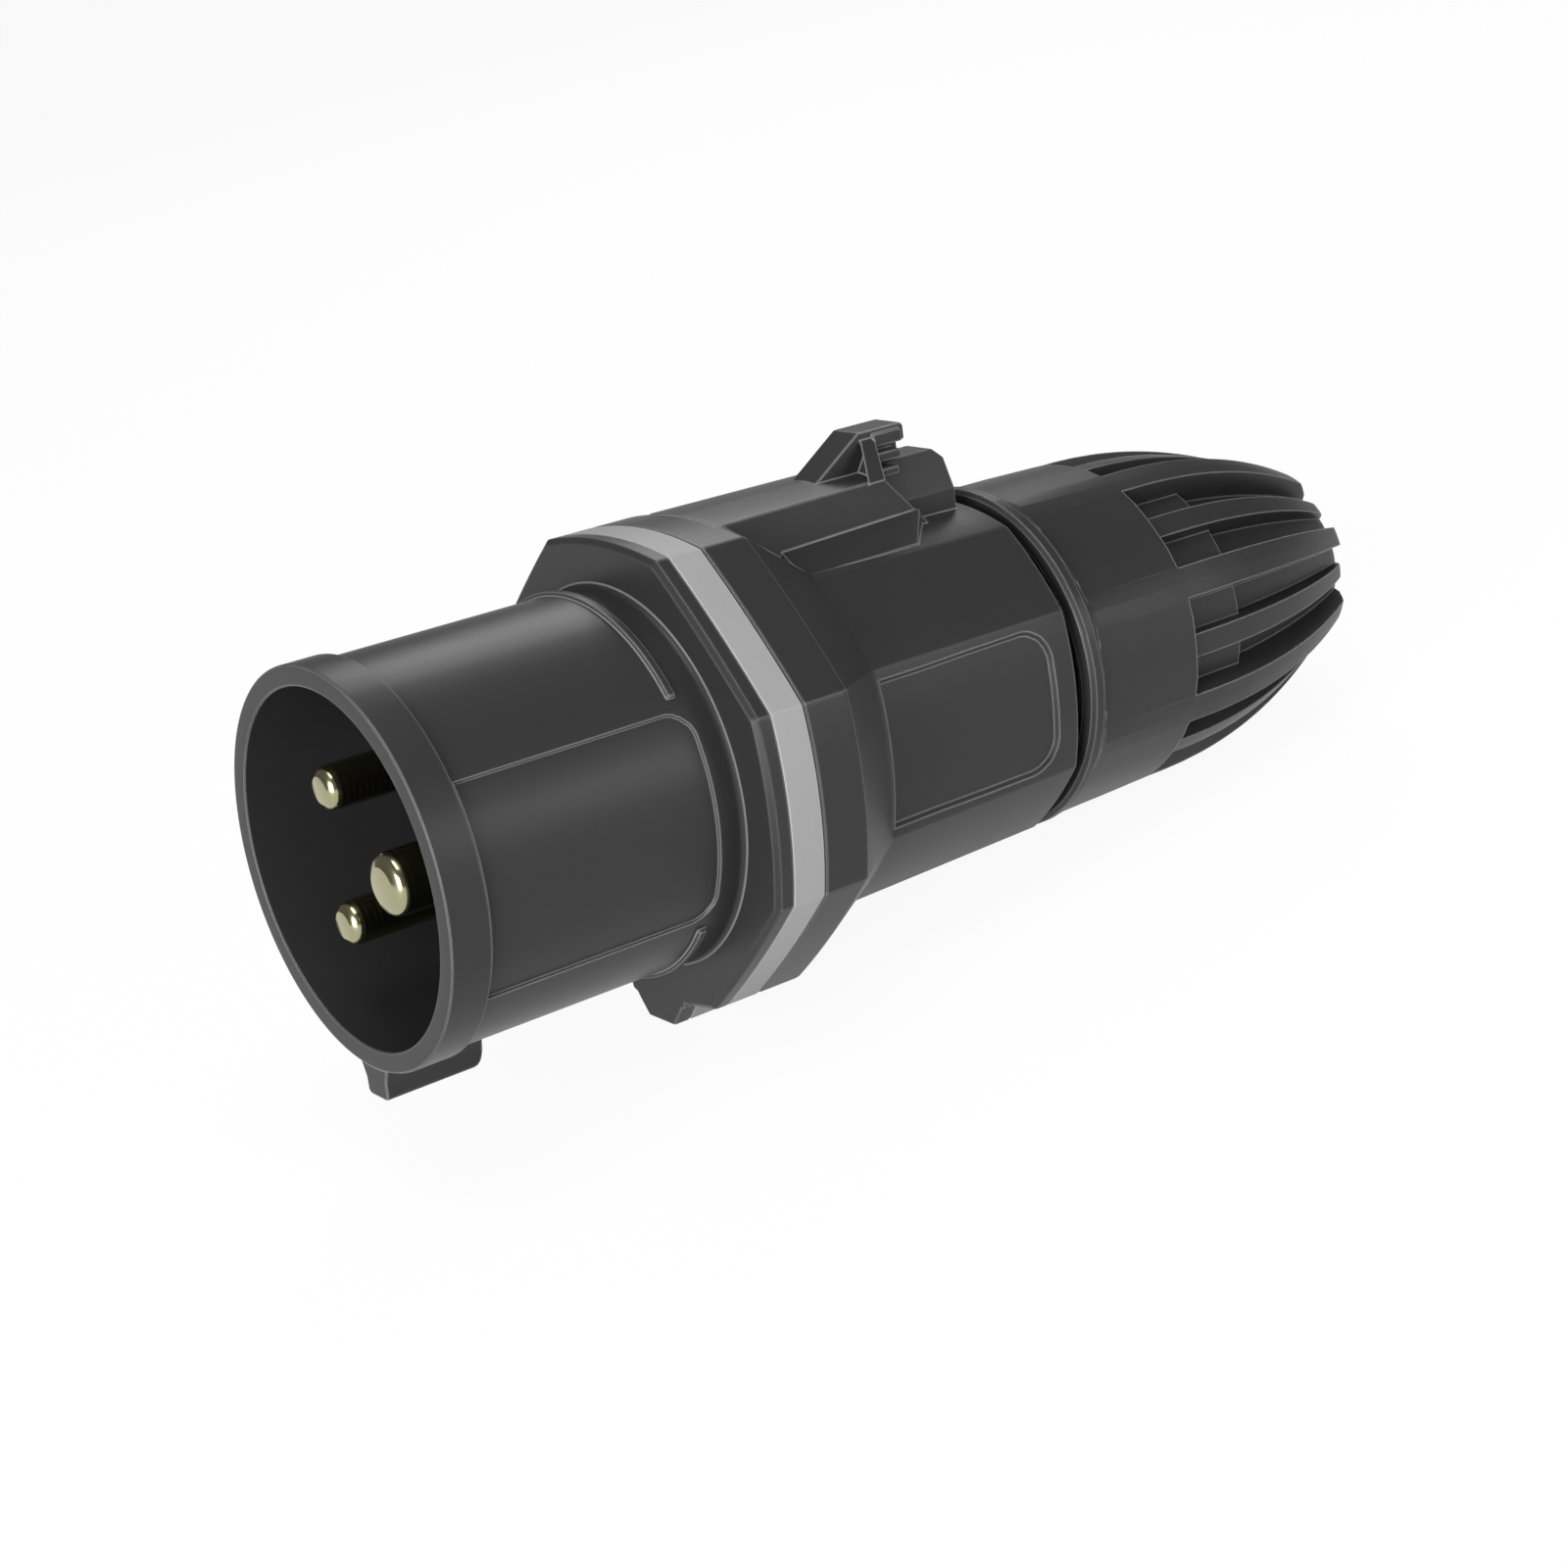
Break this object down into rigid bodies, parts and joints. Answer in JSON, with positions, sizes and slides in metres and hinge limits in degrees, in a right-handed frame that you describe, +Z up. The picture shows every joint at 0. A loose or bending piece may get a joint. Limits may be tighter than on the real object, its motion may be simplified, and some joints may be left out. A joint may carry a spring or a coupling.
{
  "type": "industrial plug",
  "caption": "Industrial power plug with a round pin shroud, guide key, grey flange ring, catch nose and ribbed cable gland nut, lying on its lug and nut.",
  "frame": {"origin": "on the surface the plug lies on, under the middle of its bounding box", "axes": "+X towards the cable end, +Z up, +Y to the side of the plug; the plug's own axis is tilted 7.53 degrees about Y, cable end down"},
  "size_m": [0.1456, 0.0538, 0.0571],
  "materials": {
    "black_polyamide": "fine satin, moulded",
    "grey_polyamide": "satin, moulded",
    "dark_polyamide": "matt, moulded",
    "nickel_brass": "drawn and thinly plated",
    "zinc_steel": "zinc plated",
    "spring_steel": "bright",
    "black_rubber": "dull",
    "pale_nylon": "smooth"
  },
  "bodies": {
    "plug_body": {"front_shroud": "black_polyamide", "rear_housing": "black_polyamide", "grey_ring": "grey_polyamide", "contact_carrier": "dark_polyamide", "pin_retainer_plate": "dark_polyamide", "clamp_cage": "dark_polyamide", "line_pin": "nickel_brass", "neutral_pin": "nickel_brass", "earth_pin": "nickel_brass", "retainer_screw": "zinc_steel", "assembly_screws": "zinc_steel", "screw_washers": "zinc_steel", "terminal_screws": "zinc_steel", "wire_guards": "spring_steel", "cable_seal": "black_rubber", "seal_core": "black_rubber", "neck_seal": "black_rubber", "housing_seal": "black_rubber"},
    "nut_slip_ring": {"thrust_washer": "pale_nylon"},
    "nut_body": {"gland_nut": "black_polyamide"}
  },
  "joints": [
    {"name": "gland_nut_travel", "type": "slide", "parent": "plug_body", "child": "nut_slip_ring", "axis": [0.9914, 0, -0.131], "range_m": [-0.00145, 0.0051]},
    {"name": "gland_nut_turn", "type": "hinge", "parent": "nut_slip_ring", "child": "nut_body", "pos_m": [0.02571, 0, 0.02246], "axis": [0.9914, 0, -0.131], "range_deg": [-252, 900]}
  ],
  "couplings": [
    {"joint": "gland_nut_travel", "follows": "gland_nut_turn", "m_per_rad": 0.00031831}
  ]
}
